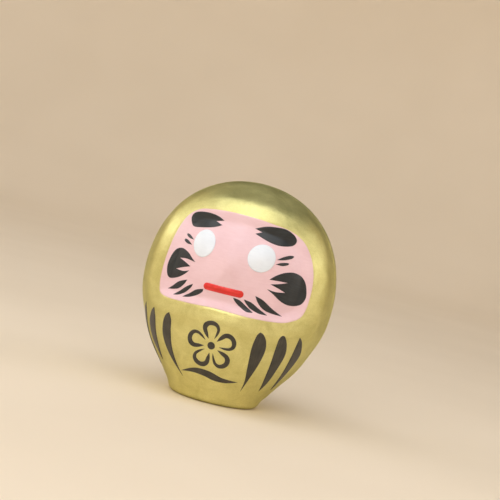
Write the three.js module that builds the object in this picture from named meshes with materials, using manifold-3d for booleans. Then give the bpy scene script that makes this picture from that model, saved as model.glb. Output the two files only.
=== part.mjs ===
// Small papier-mache daruma doll with a flat base and a magnet on its back.
// Millimetres, +Z up, the face looks along -Y, the base rests on z = 0.
// Left means -X, the side on the left of someone who faces the doll.
import * as THREE from 'three';
import { mergeVertices } from 'three/addons/utils/BufferGeometryUtils.js';
import Module from 'manifold-3d';

// ---- driving dimensions ----
const FRONT_DEPTH = 26.5 / 28;      // depth over half width, in front of the seam
const REAR_DEPTH = 0.86;            // the same behind the seam, before it is flattened
const BACK_FLAT_Y = 18.6;           // plane of the flattened back
const BACK_BLEND = 2.5;             // how softly the back turns into its flat
const WALL = 1.6;                   // pasted paper wall
const SEAM_GAP = 0.04;              // glue line between the two shells
const STRIP_HALF = 2.6;             // half width of the paper strip over the seam
const STRIP_FOOT_Z = 3;             // where the strip stops above the base
const PANEL_RECESS = 1.7;           // how deep the face lies inside its rim
const PANEL_SLOPE = 3;              // width of the slope down from the rim
const RIM_HEIGHT = 0.7;             // raised rim round the face
const RIM_OFFSET = 3.4;             // its distance outside the face
const RIM_WIDTH = 2.2;
const NOSE = { x: 0, z: 42.5, across: 3.6, along: 6.5, height: 1.7 };
const EYE_LEFT = { x: -8.9, z: 45.2, across: 3.15, along: 3.85 };
const EYE_RIGHT = { x: 7.8, z: 44.9, across: 3.7, along: 3.85 };
const EYE_DOME = 0.7;
const HOLE_R = 7;                   // opening in the base, before it follows the base's depth
const PLATE_GAP = 0.3;
const WEIGHT_FLATTEN = 0.68;        // depth over width of the clay weight
const WEIGHT_SHIFT_Y = -1;
const MAGNET_R = 10;
const MAGNET_THICK = 3;
const MAGNET_Z = 33;
const GLUE_THICK = 0.25;
const GAP = 0.03;                   // clearance between layers
const PAINT = 0.13;                 // thickness of one coat
const LIP_PAINT = 0.25;
const MOUTH = { x0: -6, x1: 5.5, z: 33.95, half: 1 };
const FRONT_COLUMNS = 34;
const REAR_COLUMNS = 14;
const STEPS_PER_SPAN = 3;           // rows between two profile points

// Half width against height, from the crown to the edge of the flat base.
// The first and last points only steer the curve.
const PROFILE = [[-6.9, 64.1], [0, 64.9], [6.9, 64.1], [12.9, 61.9], [18.2, 58.4],
  [22.7, 53.4], [26.2, 46.6], [28, 38.6], [28.1, 31.4], [27.2, 25.6], [25.1, 20],
  [22.1, 13.7], [17.8, 7.8], [14.4, 2.9], [13.2, 0.75], [11.4, 0], [8, 0]];

// Outlines in x and z. A third number marks a corner; the other points are rounded.
const K = 1;
const PANEL = [[-10.2, 54.9], [-4, 55.5], [3, 55.4], [8, 54.9], [13.4, 54], [17.6, 51.7],
  [20.8, 47.3], [22.5, 42], [22.8, 36], [22, 31.6], [19.9, 29.6], [16.5, 28.5], [9, 28.2],
  [-1.6, 28.5], [-10, 28], [-17.6, 28.1], [-19.4, 30.8], [-19.6, 36], [-19.1, 42],
  [-18.2, 47], [-16.6, 51.3], [-13.8, 53.9]];
const STROKES = {
  brow_left: [[-15.2, 51], [-14.8, 52.5], [-13.2, 53.4], [-10.3, 53.8], [-7.4, 53.5],
    [-5.3, 52.6, K], [-7.6, 51.9, K], [-5.5, 51.2, K], [-7.7, 50.1], [-11.3, 49.2], [-14, 49]],
  brow_right: [[3.7, 52.5, K], [6.3, 53.7], [9, 54.2], [12, 54.2], [14.6, 53], [15.5, 51.4],
    [14.4, 49.9], [11.5, 49.3], [8.5, 49.7], [4.2, 51.1, K], [5.9, 51.9, K]],
  lash_left_upper: [[-14.9, 46.6], [-13.8, 46.4], [-12.3, 45.4, K], [-13.7, 45.5], [-14.8, 46]],
  lash_left_lower: [[-15.1, 45], [-14.1, 44.9], [-12.4, 43.9, K], [-14, 43.9], [-15.1, 44.4]],
  lash_right_upper: [[11.8, 45.4, K], [13.2, 46.5], [14.8, 47.3], [15.8, 47.3], [15.5, 46.6],
    [13.8, 45.8]],
  lash_right_lower: [[11.8, 44.2, K], [13.2, 44.9], [14.9, 45.2], [15, 44.7], [13.6, 44.1]],
  cheek_beard_left: [[-15, 42.3], [-12.9, 41.6], [-11.3, 40.4], [-10, 39.5, K], [-12.9, 39.8],
    [-15.1, 39.5, K], [-12.8, 38.7], [-11.2, 38, K], [-13.2, 37.3], [-15.5, 36.3, K],
    [-13.2, 36.2], [-11.3, 36.8, K], [-12.4, 35.5], [-14.1, 34.2], [-16.3, 33.3],
    [-17.6, 33.7], [-18.3, 35.6], [-18.3, 37.8], [-17.7, 40.3], [-16.7, 41.8]],
  cheek_beard_right: [[11.2, 39.7, K], [12.9, 41.3], [15, 42.5], [17.2, 42.9], [19.4, 42.1],
    [20.9, 40.2], [21.7, 37.2], [21.2, 35.1], [19.8, 34], [17.6, 33.7], [15.4, 34.4],
    [13, 36], [11.2, 37, K], [13.5, 36.7], [16.1, 37, K], [14, 37.8], [11.8, 38.5, K],
    [13.8, 39], [16.1, 39.8, K], [13.5, 39.8]],
  whisker_left_1: [[-16.7, 30.1, K], [-15.2, 31.5], [-13.6, 33.1], [-11.2, 34.2, K],
    [-11.8, 32.8], [-13.2, 31.2], [-15, 30.5]],
  whisker_left_2: [[-14.4, 28.95, K], [-12.6, 30.7], [-11, 32.3], [-9.2, 33.5, K], [-9.6, 32.3],
    [-11.1, 30.5], [-12.7, 29.4]],
  whisker_left_3: [[-11.5, 29.15, K], [-9.6, 30.75], [-7.9, 32.2], [-5.9, 32.9, K],
    [-5.95, 32.05], [-7.2, 30.85], [-9.3, 29.65]],
  whisker_right_1: [[8.65, 34.45, K], [10.9, 33.75], [13.6, 32], [16.8, 30.2, K], [13.8, 30.5],
    [11.4, 31.25], [9.7, 32.75]],
  whisker_right_2: [[5.85, 32.8, K], [8, 32.4], [10.4, 31.1], [13, 29.7, K], [10.6, 29.75],
    [8.25, 30.55], [6.6, 31.85]],
  whisker_right_3: [[2.85, 32.6, K], [4.75, 32.3], [6.75, 31.15], [9.1, 29.6, K], [7.3, 29.5],
    [5.2, 30.45], [3.6, 31.65]],
};
const BELLY_STROKES = {
  belly_stroke_left_1: [[-14.3, 24, K], [-15.5, 22.8], [-16.1, 20.5], [-15.7, 17], [-13.8, 13.2],
    [-11, 9.6], [-7.5, 6.1, K], [-9.8, 9.2], [-12, 13.8], [-13.1, 18.5], [-13.5, 22]],
  belly_stroke_left_2: [[-19.7, 24, K], [-20.8, 22.4], [-21.1, 19], [-19.5, 14.7], [-17.2, 11.4],
    [-15.1, 8.9, K], [-16.8, 12.8], [-18.3, 17], [-19.1, 21]],
  belly_stroke_left_3: [[-23.4, 24.4, K], [-24, 22.2], [-23.4, 19], [-21.5, 15], [-19.1, 11],
    [-16.3, 6.8, K], [-18.2, 10.5], [-20.6, 14.5], [-22.3, 18.5], [-22.9, 22]],
  belly_stroke_right_1: [[12.4, 24.9, K], [11.6, 23.6], [10.8, 20], [10.5, 14], [10.2, 9.4],
    [9.3, 5.8, K], [11.3, 10.3], [13.2, 15], [14.4, 19.5], [14.3, 22.6], [13.4, 24.4]],
  belly_stroke_right_2: [[18.3, 25.1], [17.5, 23.8], [16.9, 20.5], [16.1, 15], [14.9, 9.8],
    [14, 6.7, K], [16.2, 10.2], [18.1, 14.6], [19.6, 19.2], [19.7, 22.5], [19.1, 24.8]],
  belly_stroke_right_3: [[22.7, 25.4, K], [22.1, 23], [20.9, 18], [19.2, 12.8], [16.7, 7.3, K],
    [18.3, 9.8], [20.5, 13.6], [22.5, 17.8], [23.4, 20.8], [23.3, 24]],
};
// The five-petalled flower on the belly: petals round a dot, and a stem under them.
const FLOWER = { x: -0.3, z: 17.8, petals: 5, tilt: 0.12, dot: 1.1 };
// One petal, a single brush stroke round its tip: out from the flower's middle, and across.
const PETAL = [[1.9, -0.8, K], [3.2, -1.95], [4.8, -2.6], [6.3, -2.2], [7.2, -0.8], [7.2, 0.8],
  [6.3, 2.1], [4.8, 2.45], [3.2, 1.8], [2, 0.8, K], [3.4, 1.25], [4.8, 1.6], [5.7, 1.2],
  [6, 0.2], [5.8, -0.7], [4.9, -1.3], [3.5, -1]];
const STEM = [[-8.4, 7.9, K], [-5.6, 9.5], [-3, 10.2], [0.4, 10], [4, 8.9], [8.4, 8.6, K],
  [5.2, 7.6], [1.8, 7.5], [-1.2, 8.2], [-4.6, 8.5]];

// ---- materials ----
const coat = (color, roughness, metalness) =>
  new THREE.MeshStandardMaterial({ color, roughness, metalness });
const GOLD = coat(0xc2b05c, 0.42, 0.75);
const BASE_GOLD = coat(0xb7a44f, 0.5, 0.6);
const PINK = coat(0xf8d0cc, 0.5, 0);
const WHITE = coat(0xf8f6f2, 0.3, 0);
const BLACK = coat(0x23211f, 0.45, 0);
const RED = coat(0xe03434, 0.4, 0);
const CLAY = coat(0x9c7455, 0.95, 0);
const GLUE = coat(0xe6dcbc, 0.5, 0);
const FERRITE = coat(0x2e2d2c, 0.55, 0.3);

// ---- curves and relief ----
// Cubic through p1 and p2; p0 and p3 set the directions.
function through(p0, p1, p2, p3, w) {
  return [0, 1].map((i) => {
    const a = (p2[i] - p0[i]) / 2;
    const b = (p3[i] - p1[i]) / 2;
    const cube = 2 * p1[i] - 2 * p2[i] + a + b;
    const square = 3 * p2[i] - 3 * p1[i] - 2 * a - b;
    return ((cube * w + square) * w + a) * w + p1[i];
  });
}

// Closed outline with rounded points and sharp corners, about one point per `step`.
function rounded(points, step) {
  const n = points.length;
  const at = (i) => points[(i + n) % n];
  const out = [];
  for (let i = 0; i < n; i += 1) {
    const a = at(i);
    const b = at(i + 1);
    const before = a[2] ? a : at(i - 1);
    const after = b[2] ? b : at(i + 2);
    const length = Math.hypot(b[0] - a[0], b[1] - a[1]);
    const parts = Math.max(1, Math.round(length / step));
    for (let k = 0; k < parts; k += 1) {
      out.push(through(before, a, b, after, k / parts));
    }
  }
  return out;
}

function oval(x, z, across, along, turn, count) {
  const out = [];
  for (let i = 0; i < count; i += 1) {
    const a = 2 * Math.PI * i / count;
    const u = across * Math.cos(a);
    const v = along * Math.sin(a);
    out.push([x + u * Math.cos(turn) - v * Math.sin(turn),
      z + u * Math.sin(turn) + v * Math.cos(turn)]);
  }
  return out;
}

const smooth = (x) => {
  const c = Math.min(1, Math.max(0, x));
  return c * c * (3 - 2 * c);
};
const bell = (x) => Math.exp(-x * x);

const panelOutline = rounded(PANEL, 1.5);

// Distance inside the face's outline, negative outside it.
function insidePanel(x, z) {
  let best = Infinity;
  let inside = false;
  const n = panelOutline.length;
  for (let i = 0; i < n; i += 1) {
    const [ax, az] = panelOutline[i];
    const [bx, bz] = panelOutline[(i + 1) % n];
    const dx = bx - ax;
    const dz = bz - az;
    const w = Math.min(1, Math.max(0, ((x - ax) * dx + (z - az) * dz) / (dx * dx + dz * dz)));
    best = Math.min(best, Math.hypot(x - ax - w * dx, z - az - w * dz));
    if ((az > z) !== (bz > z) && x < ax + dx * (z - az) / dz) {
      inside = !inside;
    }
  }
  return inside ? best : -best;
}

// How far the front stands out of its plain rounded form.
function relief(x, z) {
  const d = insidePanel(x, z);
  const sunk = -PANEL_RECESS * smooth((d + 0.6) / PANEL_SLOPE);
  const rim = RIM_HEIGHT * bell((d + RIM_OFFSET) / RIM_WIDTH);
  const nose = NOSE.height * bell((x - NOSE.x) / NOSE.across) * bell((z - NOSE.z) / NOSE.along);
  const domes = [EYE_LEFT, EYE_RIGHT].map((eye) =>
    EYE_DOME * bell((x - eye.x) / (eye.across * 1.1)) * bell((z - eye.z) / (eye.along * 1.1)));
  return sunk + rim + nose + domes[0] + domes[1];
}

// ---- the doll's outside ----
function profileAt(t) {
  const spans = PROFILE.length - 3;
  const span = Math.min(spans - 1, Math.floor(t * spans));
  const w = t * spans - span;
  return through(PROFILE[span], PROFILE[span + 1], PROFILE[span + 2], PROFILE[span + 3], w);
}

function softMin(a, b, blend) {
  const h = Math.max(blend - Math.abs(a - b), 0) / blend;
  return Math.min(a, b) - h * h * blend / 4;
}

// angle: 0 in front, +-90 degrees at the seam, 180 at the back.
function plainPoint(angle, t) {
  const [r, z] = profileAt(t);
  const c = Math.cos(angle);
  const y = c > 0 ? -FRONT_DEPTH * r * c : softMin(-REAR_DEPTH * r * c, BACK_FLAT_Y, BACK_BLEND);
  return new THREE.Vector3(r * Math.sin(angle), y, z);
}

function normalOf(point, angle, t) {
  const e = 1e-3;
  const lo = Math.max(t - e, 1e-4);
  const hi = Math.min(t + e, 1);
  const across = point(angle + e, (lo + hi) / 2).sub(point(angle - e, (lo + hi) / 2));
  const down = point(angle, hi).sub(point(angle, lo));
  return down.cross(across).normalize();
}

function formedPoint(angle, t) {
  const p = plainPoint(angle, t);
  const fade = smooth((Math.cos(angle) - 0.1) / 0.3);
  if (fade === 0 || t < 1e-3) {
    return p;
  }
  return p.addScaledVector(normalOf(plainPoint, angle, t), fade * relief(p.x, p.z));
}

// One closed body: the outside moved out by `offset` along its own normals.
function bodyGeometry(offset, front, rear, perSpan) {
  const angles = [];
  for (let i = 0; i < front; i += 1) {
    angles.push(-Math.PI / 2 + Math.PI * i / front);
  }
  for (let i = 0; i < rear; i += 1) {
    angles.push(Math.PI / 2 + Math.PI * i / rear);
  }
  const rows = (PROFILE.length - 3) * perSpan;
  const columns = angles.length;
  const top = profileAt(0)[1] + offset;
  const foot = Math.max(-offset, 0) - Math.max(offset, 0);
  const positions = [0, 0, top];
  for (let row = 1; row <= rows; row += 1) {
    for (const angle of angles) {
      const t = row / rows;
      const p = formedPoint(angle, t).addScaledVector(normalOf(formedPoint, angle, t), offset);
      positions.push(p.x, p.y, row === rows ? foot : Math.max(p.z, foot));
    }
  }
  positions.push(0, 0, foot);
  const last = positions.length / 3 - 1;
  const index = [];
  const at = (row, column) => 1 + (row - 1) * columns + (column % columns);
  for (let column = 0; column < columns; column += 1) {
    index.push(0, at(1, column), at(1, column + 1));
    for (let row = 1; row < rows; row += 1) {
      index.push(at(row, column), at(row + 1, column), at(row + 1, column + 1));
      index.push(at(row, column), at(row + 1, column + 1), at(row, column + 1));
    }
    index.push(at(rows, column), last, at(rows, column + 1));
  }
  const geometry = new THREE.BufferGeometry();
  geometry.setAttribute('position', new THREE.Float32BufferAttribute(positions, 3));
  geometry.setIndex(index);
  return geometry;
}

// ---- solids ----
const wasm = await Module();
wasm.setup();

function solid(geometry) {
  const plain = geometry.clone();
  plain.deleteAttribute('normal');
  plain.deleteAttribute('uv');
  const merged = mergeVertices(plain, 1e-5);
  return new wasm.Manifold(new wasm.Mesh({
    numProp: 3,
    vertProperties: new Float32Array(merged.attributes.position.array),
    triVerts: new Uint32Array(merged.index.array),
  }));
}

function geometryOf(manifold) {
  const mesh = manifold.getMesh();
  const geometry = new THREE.BufferGeometry();
  geometry.setAttribute('position', new THREE.BufferAttribute(mesh.vertProperties, 3));
  geometry.setIndex(new THREE.BufferAttribute(mesh.triVerts, 1));
  const flat = geometry.toNonIndexed();
  flat.computeVertexNormals();
  return flat;
}

// A body with the given x-z outline, from y = 0 forward.
function forward(outline) {
  const shape = new THREE.Shape(outline.map(([x, z]) => new THREE.Vector2(x, z)));
  const geometry = new THREE.ExtrudeGeometry(shape, { depth: 40, bevelEnabled: false });
  return solid(geometry.rotateX(Math.PI / 2));
}

function box(x0, x1, y0, y1, z0, z1) {
  const geometry = new THREE.BoxGeometry(x1 - x0, y1 - y0, z1 - z0);
  return solid(geometry.translate((x0 + x1) / 2, (y0 + y1) / 2, (z0 + z1) / 2));
}

// A level disc that follows the base: round across, deeper in front than behind.
function baseDisc(radius, z0, z1) {
  const rim = oval(0, 0, radius, radius, 0, 32).map(([x, y]) =>
    new THREE.Vector2(x, y * (y < 0 ? FRONT_DEPTH : REAR_DEPTH)));
  const geometry = new THREE.ExtrudeGeometry(new THREE.Shape(rim),
    { depth: z1 - z0, bevelEnabled: false });
  return geometry.translate(0, 0, z0);
}

function backDisc(radius, y0, y1) {
  const geometry = new THREE.CylinderGeometry(radius, radius, y1 - y0, 40);
  return geometry.translate(0, (y0 + y1) / 2, MAGNET_Z);
}

// A layer over the doll between two distances from its surface.
const layerBody = (offset) =>
  solid(bodyGeometry(offset, FRONT_COLUMNS, REAR_COLUMNS, STEPS_PER_SPAN));
const layer = (low, high) => layerBody(high).subtract(layerBody(low));

const outside = layerBody(0);
const inside = solid(bodyGeometry(-WALL, 20, 14, 1));
const room = 60;
const frontHalf = box(-room, room, -room, -SEAM_GAP / 2, -1, 2 * room);
const rearHalf = box(-room, room, SEAM_GAP / 2, room, -1, 2 * room);
const wall = outside.subtract(inside).subtract(solid(baseDisc(HOLE_R, -1, 2 * WALL)));
const coatOne = layer(GAP, GAP + PAINT);
const coatTwo = layer(2 * GAP + PAINT, 2 * GAP + 2 * PAINT);
const lipCoat = layer(2 * GAP + PAINT, 2 * GAP + PAINT + LIP_PAINT);
const overSeam = box(-room, room, -STRIP_HALF, STRIP_HALF, STRIP_FOOT_Z, 2 * room);

const doll = new THREE.Group();
doll.name = 'daruma_doll';
function add(name, geometry, material) {
  const mesh = new THREE.Mesh(geometry, material);
  mesh.name = name;
  doll.add(mesh);
}
const addSolid = (name, manifold, material) => add(name, geometryOf(manifold), material);

// Paper body.
addSolid('front_shell', wall.intersect(frontHalf), GOLD);
addSolid('rear_shell', wall.intersect(rearHalf), GOLD);
addSolid('seam_strip', coatOne.intersect(overSeam), GOLD);
add('base_plate', baseDisc(HOLE_R - PLATE_GAP, 0, WALL), BASE_GOLD);

// Clay weight glued over the plate, and the magnet glued to the flattened back.
const glueTop = WALL + GAP + GLUE_THICK;
add('weight_glue', baseDisc(HOLE_R - 0.6, WALL + GAP, glueTop), GLUE);
const clay = [[0, 0], [9.6, 0], [11.4, 2], [11.8, 4.2], [10.6, 6.6], [7.6, 8.3], [3.6, 9.2],
  [0, 9.4]];
const clayForm = new THREE.LatheGeometry(clay.map(([r, z]) => new THREE.Vector2(r, z)), 28);
clayForm.rotateX(Math.PI / 2).scale(1, WEIGHT_FLATTEN, 1);
clayForm.translate(0, WEIGHT_SHIFT_Y, glueTop + GAP);
addSolid('base_weight', solid(clayForm), CLAY);
const magnetY = BACK_FLAT_Y + 2 * GAP + GLUE_THICK;
const filmY = BACK_FLAT_Y + GAP;
add('magnet_glue', backDisc(MAGNET_R - 0.8, filmY, filmY + GLUE_THICK), GLUE);
add('magnet', backDisc(MAGNET_R, magnetY, magnetY + MAGNET_THICK), FERRITE);

// Painted layers, one above the other where they cross.
addSolid('face_paint', coatOne.intersect(forward(panelOutline)), PINK);
for (const [name, eye] of [['eye_left', EYE_LEFT], ['eye_right', EYE_RIGHT]]) {
  const outline = oval(eye.x, eye.z, eye.across, eye.along, 0, 28);
  addSolid(name, coatTwo.intersect(forward(outline)), WHITE);
}
for (const [name, points] of Object.entries(STROKES)) {
  addSolid(name, coatTwo.intersect(forward(rounded(points, 1.2))), BLACK);
}
const lipEnd = (x, turn) => oval(x, MOUTH.z, MOUTH.half, MOUTH.half, turn, 16).slice(0, 9);
const lips = [...lipEnd(MOUTH.x1 - MOUTH.half, -Math.PI / 2),
  ...lipEnd(MOUTH.x0 + MOUTH.half, Math.PI / 2)];
addSolid('lips', lipCoat.intersect(forward(lips)), RED);
for (const [name, points] of Object.entries(BELLY_STROKES)) {
  addSolid(name, coatOne.intersect(forward(rounded(points, 2))), BLACK);
}

for (let i = 0; i < FLOWER.petals; i += 1) {
  const a = FLOWER.tilt + 2 * Math.PI * i / FLOWER.petals;
  const points = PETAL.map(([out, side, corner]) => [
    FLOWER.x - out * Math.sin(a) + side * Math.cos(a),
    FLOWER.z + out * Math.cos(a) + side * Math.sin(a), corner]);
  addSolid(`blossom_petal_${i + 1}`, coatOne.intersect(forward(rounded(points, 1))), BLACK);
}
addSolid('blossom_centre',
  coatOne.intersect(forward(oval(FLOWER.x, FLOWER.z, FLOWER.dot, FLOWER.dot, 0, 14))), BLACK);
addSolid('blossom_stem', coatOne.intersect(forward(rounded(STEM, 1.6))), BLACK);

export default doll;
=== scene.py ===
"""Looks for a small gold papier-mache daruma doll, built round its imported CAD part.

Shapes are worked out in millimetres, with x to the right, z up and the face towards -y, and
turned into metres when a mesh is made. An angle goes round the doll: 0 in front, 90 degrees at
the right seam, 180 at the back. t goes down its profile, from the crown (0) to the base (1).
"""

import math

import bpy
import numpy as np
from mathutils import Matrix, Vector
from mathutils.geometry import delaunay_2d_cdt


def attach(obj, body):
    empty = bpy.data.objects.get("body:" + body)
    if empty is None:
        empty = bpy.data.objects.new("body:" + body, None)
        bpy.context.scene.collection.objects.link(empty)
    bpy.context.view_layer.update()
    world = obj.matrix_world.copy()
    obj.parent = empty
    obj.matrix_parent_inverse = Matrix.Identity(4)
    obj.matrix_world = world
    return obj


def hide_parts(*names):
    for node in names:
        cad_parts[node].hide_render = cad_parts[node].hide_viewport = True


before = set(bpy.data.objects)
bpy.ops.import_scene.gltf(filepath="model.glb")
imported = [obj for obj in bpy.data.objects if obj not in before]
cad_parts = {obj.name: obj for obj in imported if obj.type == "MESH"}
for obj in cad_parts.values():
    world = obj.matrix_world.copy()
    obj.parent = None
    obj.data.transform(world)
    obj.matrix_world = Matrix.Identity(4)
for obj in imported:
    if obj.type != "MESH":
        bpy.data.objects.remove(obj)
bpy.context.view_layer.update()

MM = 0.001

# ---- the doll's outside, as in the CAD part ----
FRONT_DEPTH = 26.5 / 28
REAR_DEPTH = 0.86
BACK_FLAT_Y = 18.6
BACK_BLEND = 2.5
WALL = 1.6
HOLE_R = 7.0
PLATE_GAP = 0.3
STRIP_HALF = 2.6
STRIP_FOOT_Z = 3.0
PANEL_RECESS = 1.7
PANEL_SLOPE = 3.0
RIM_HEIGHT = 0.7
RIM_OFFSET = 3.4
RIM_WIDTH = 2.2
NOSE = {"x": 0.0, "z": 42.5, "across": 3.6, "along": 6.5, "height": 1.7}
EYE_LEFT = {"x": -8.9, "z": 45.2, "across": 3.15, "along": 3.85}
EYE_RIGHT = {"x": 7.8, "z": 44.9, "across": 3.7, "along": 3.85}
EYE_DOME = 0.7
MOUTH = {"x0": -6, "x1": 5.5, "z": 33.95, "half": 1}
MAGNET_R = 10.0
MAGNET_THICK = 3.0
MAGNET_Z = 33.0
GLUE_THICK = 0.25
GAP = 0.03
PAINT = 0.13

PROFILE = np.array([
    (-6.9, 64.1), (0, 64.9), (6.9, 64.1), (12.9, 61.9), (18.2, 58.4), (22.7, 53.4),
    (26.2, 46.6), (28, 38.6), (28.1, 31.4), (27.2, 25.6), (25.1, 20), (22.1, 13.7),
    (17.8, 7.8), (14.4, 2.9), (13.2, 0.75), (11.4, 0), (8, 0)])

# Outlines in x and z. A third value, K, marks a corner; the other points are rounded.
K = 1
PANEL = [
    (-10.2, 54.9), (-4, 55.5), (3, 55.4), (8, 54.9), (13.4, 54), (17.6, 51.7), (20.8, 47.3),
    (22.5, 42), (22.8, 36), (22, 31.6), (19.9, 29.6), (16.5, 28.5), (9, 28.2), (-1.6, 28.5),
    (-10, 28), (-17.6, 28.1), (-19.4, 30.8), (-19.6, 36), (-19.1, 42), (-18.2, 47),
    (-16.6, 51.3), (-13.8, 53.9)]
FACE_STROKES = {
    "brow_left": [
        (-15.2, 51), (-14.8, 52.5), (-13.2, 53.4), (-10.3, 53.8), (-7.4, 53.5), (-5.3, 52.6, K),
        (-7.6, 51.9, K), (-5.5, 51.2, K), (-7.7, 50.1), (-11.3, 49.2), (-14, 49)],
    "brow_right": [
        (3.7, 52.5, K), (6.3, 53.7), (9, 54.2), (12, 54.2), (14.6, 53), (15.5, 51.4),
        (14.4, 49.9), (11.5, 49.3), (8.5, 49.7), (4.2, 51.1, K), (5.9, 51.9, K)],
    "lash_left_upper": [
        (-14.9, 46.6), (-13.8, 46.4), (-12.3, 45.4, K), (-13.7, 45.5), (-14.8, 46)],
    "lash_left_lower": [
        (-15.1, 45), (-14.1, 44.9), (-12.4, 43.9, K), (-14, 43.9), (-15.1, 44.4)],
    "lash_right_upper": [
        (11.8, 45.4, K), (13.2, 46.5), (14.8, 47.3), (15.8, 47.3), (15.5, 46.6), (13.8, 45.8)],
    "lash_right_lower": [
        (11.8, 44.2, K), (13.2, 44.9), (14.9, 45.2), (15, 44.7), (13.6, 44.1)],
    "cheek_beard_left": [
        (-15, 42.3), (-12.9, 41.6), (-11.3, 40.4), (-10, 39.5, K), (-12.9, 39.8),
        (-15.1, 39.5, K), (-12.8, 38.7), (-11.2, 38, K), (-13.2, 37.3), (-15.5, 36.3, K),
        (-13.2, 36.2), (-11.3, 36.8, K), (-12.4, 35.5), (-14.1, 34.2), (-16.3, 33.3),
        (-17.6, 33.7), (-18.3, 35.6), (-18.3, 37.8), (-17.7, 40.3), (-16.7, 41.8)],
    "cheek_beard_right": [
        (11.2, 39.7, K), (12.9, 41.3), (15, 42.5), (17.2, 42.9), (19.4, 42.1), (20.9, 40.2),
        (21.7, 37.2), (21.2, 35.1), (19.8, 34), (17.6, 33.7), (15.4, 34.4), (13, 36),
        (11.2, 37, K), (13.5, 36.7), (16.1, 37, K), (14, 37.8), (11.8, 38.5, K), (13.8, 39),
        (16.1, 39.8, K), (13.5, 39.8)],
    "whisker_left_1": [
        (-16.7, 30.1, K), (-15.2, 31.5), (-13.6, 33.1), (-11.2, 34.2, K), (-11.8, 32.8),
        (-13.2, 31.2), (-15, 30.5)],
    "whisker_left_2": [
        (-14.4, 28.95, K), (-12.6, 30.7), (-11, 32.3), (-9.2, 33.5, K), (-9.6, 32.3),
        (-11.1, 30.5), (-12.7, 29.4)],
    "whisker_left_3": [
        (-11.5, 29.15, K), (-9.6, 30.75), (-7.9, 32.2), (-5.9, 32.9, K), (-5.95, 32.05),
        (-7.2, 30.85), (-9.3, 29.65)],
    "whisker_right_1": [
        (8.65, 34.45, K), (10.9, 33.75), (13.6, 32), (16.8, 30.2, K), (13.8, 30.5),
        (11.4, 31.25), (9.7, 32.75)],
    "whisker_right_2": [
        (5.85, 32.8, K), (8, 32.4), (10.4, 31.1), (13, 29.7, K), (10.6, 29.75), (8.25, 30.55),
        (6.6, 31.85)],
    "whisker_right_3": [
        (2.85, 32.6, K), (4.75, 32.3), (6.75, 31.15), (9.1, 29.6, K), (7.3, 29.5), (5.2, 30.45),
        (3.6, 31.65)],
}
BELLY_STROKES = {
    "belly_stroke_left_1": [
        (-14.3, 24, K), (-15.5, 22.8), (-16.1, 20.5), (-15.7, 17), (-13.8, 13.2), (-11, 9.6),
        (-7.5, 6.1, K), (-9.8, 9.2), (-12, 13.8), (-13.1, 18.5), (-13.5, 22)],
    "belly_stroke_left_2": [
        (-19.7, 24, K), (-20.8, 22.4), (-21.1, 19), (-19.5, 14.7), (-17.2, 11.4),
        (-15.1, 8.9, K), (-16.8, 12.8), (-18.3, 17), (-19.1, 21)],
    "belly_stroke_left_3": [
        (-23.4, 24.4, K), (-24, 22.2), (-23.4, 19), (-21.5, 15), (-19.1, 11), (-16.3, 6.8, K),
        (-18.2, 10.5), (-20.6, 14.5), (-22.3, 18.5), (-22.9, 22)],
    "belly_stroke_right_1": [
        (12.4, 24.9, K), (11.6, 23.6), (10.8, 20), (10.5, 14), (10.2, 9.4), (9.3, 5.8, K),
        (11.3, 10.3), (13.2, 15), (14.4, 19.5), (14.3, 22.6), (13.4, 24.4)],
    "belly_stroke_right_2": [
        (18.3, 25.1), (17.5, 23.8), (16.9, 20.5), (16.1, 15), (14.9, 9.8), (14, 6.7, K),
        (16.2, 10.2), (18.1, 14.6), (19.6, 19.2), (19.7, 22.5), (19.1, 24.8)],
    "belly_stroke_right_3": [
        (22.7, 25.4, K), (22.1, 23), (20.9, 18), (19.2, 12.8), (16.7, 7.3, K), (18.3, 9.8),
        (20.5, 13.6), (22.5, 17.8), (23.4, 20.8), (23.3, 24)],
}
# The five-petalled flower on the belly: petals round a dot, and a stem under them.
FLOWER = {"x": -0.3, "z": 17.8, "petals": 5, "tilt": 0.12, "dot": 1.1}
# One petal, a single brush stroke round its tip: out from the flower's middle, and across.
PETAL = [
    (1.9, -0.8, K), (3.2, -1.95), (4.8, -2.6), (6.3, -2.2), (7.2, -0.8), (7.2, 0.8), (6.3, 2.1),
    (4.8, 2.45), (3.2, 1.8), (2, 0.8, K), (3.4, 1.25), (4.8, 1.6), (5.7, 1.2), (6, 0.2),
    (5.8, -0.7), (4.9, -1.3), (3.5, -1)]
STEM = [
    (-8.4, 7.9, K), (-5.6, 9.5), (-3, 10.2), (0.4, 10), (4, 8.9), (8.4, 8.6, K), (5.2, 7.6),
    (1.8, 7.5), (-1.2, 8.2), (-4.6, 8.5)]


# ---- curves and relief ----
def through(p0, p1, p2, p3, w):
    """The cubic through p1 and p2 at w; p0 and p3 set the directions."""
    a = (p2 - p0) / 2
    b = (p3 - p1) / 2
    cube = 2 * p1 - 2 * p2 + a + b
    square = 3 * p2 - 3 * p1 - 2 * a - b
    return ((cube * w + square) * w + a) * w + p1


def rounded(points, step):
    """A closed outline with rounded points and sharp corners, about one point per step."""
    n = len(points)
    at = [np.array(p[:2], float) for p in points]
    corner = [len(p) == 3 for p in points]
    out = []
    for i in range(n):
        a = at[i]
        b = at[(i + 1) % n]
        before = a if corner[i] else at[i - 1]
        after = b if corner[(i + 1) % n] else at[(i + 2) % n]
        parts = max(1, round(float(np.hypot(*(b - a))) / step))
        out += [through(before, a, b, after, k / parts) for k in range(parts)]
    return np.array(out)


def oval(x, z, across, along, count):
    a = np.linspace(0, 2 * np.pi, count, endpoint=False)
    return np.stack([x + across * np.cos(a), z + along * np.sin(a)], 1)


def smooth(x):
    c = np.clip(x, 0, 1)
    return c * c * (3 - 2 * c)


def bell(x):
    return np.exp(-x * x)


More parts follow.
